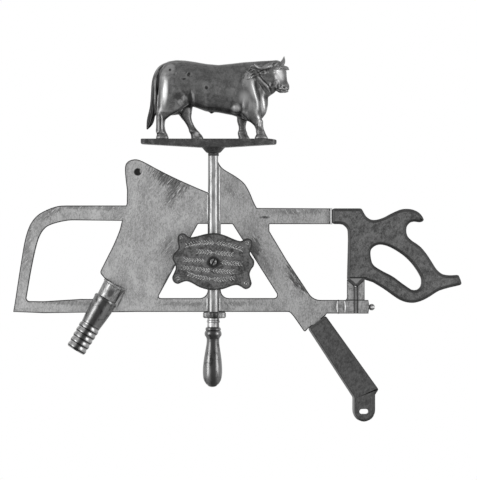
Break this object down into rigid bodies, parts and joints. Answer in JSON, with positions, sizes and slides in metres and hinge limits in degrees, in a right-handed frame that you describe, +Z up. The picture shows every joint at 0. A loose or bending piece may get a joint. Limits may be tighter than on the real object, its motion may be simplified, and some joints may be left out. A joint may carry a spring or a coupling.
{
  "type": "trade sign",
  "caption": "Flat trade sign of a cleaver, bow saw, knife and sharpening steel, with a standing bull on a platform on top and a turning plaque at the centre.",
  "frame": {"origin": "on the axis of the hanging hole in the cleaver's corner, in the middle of the plates' thickness", "axes": "+X to the right along the saw, +Y to the back, +Z up along the steel"},
  "size_m": [0.7168, 0.058, 0.5854],
  "materials": {
    "blade_plate": "dull grey metal, mottled, darker along the edges and in worn patches",
    "rod_metal": "bright rubbed metal with darker streaks along it",
    "guard_metal": "grey metal, half polished",
    "turned_handle": "dark glossy paint with soft highlights",
    "dark_iron": "dark mottled iron",
    "bull_cast": "dark metal rubbed bright on the high places",
    "plaque_cast": "dark cast metal with worn raised ornament",
    "fastener": "plain steel",
    "dark_grip": "dark matt finish, mottled, rubbed a little along the edges",
    "clamp_metal": "grey metal with dark streaks"
  },
  "bodies": {
    "sign": {"cleaver_plate": "blade_plate", "knife_plate": "blade_plate", "steel_rod": "rod_metal", "steel_guard": "guard_metal", "steel_ferrule": "rod_metal", "steel_handle": "turned_handle", "steel_button": "turned_handle", "boss_nut": "dark_iron", "bull_platform": "dark_iron", "platform_plug": "dark_iron", "hoof_screws": "fastener", "bull_body": "bull_cast", "bull_head": "bull_cast", "bull_horn_near": "bull_cast", "bull_horn_far": "bull_cast", "bull_ear_near": "bull_cast", "bull_ear_far": "bull_cast", "bull_tail": "bull_cast", "hind_leg_near": "bull_cast", "hind_leg_far": "bull_cast", "fore_leg_near": "bull_cast", "fore_leg_far": "bull_cast", "plaque_screw": "fastener", "plaque_spacer": "fastener", "cleaver_ferrule": "rod_metal", "cleaver_grip": "turned_handle", "knife_handle": "dark_grip", "saw_handle": "dark_grip", "saw_band": "rod_metal", "saw_post": "clamp_metal", "clamp_collar": "clamp_metal", "blade_clamp": "clamp_metal"},
    "plaque": {"centre_plaque": "plaque_cast"},
    "screw": {"tension_screw": "clamp_metal"}
  },
  "joints": [
    {"name": "plaque_pivot", "type": "hinge", "parent": "sign", "child": "plaque", "pos_m": [0.121, -0.0179, -0.144], "axis": [0, 1, 0], "continuous": true},
    {"name": "tension_turn", "type": "hinge", "parent": "sign", "child": "screw", "pos_m": [0.37, 0, -0.2162], "axis": [1, 0, 0], "range_deg": [-720, 720]}
  ]
}
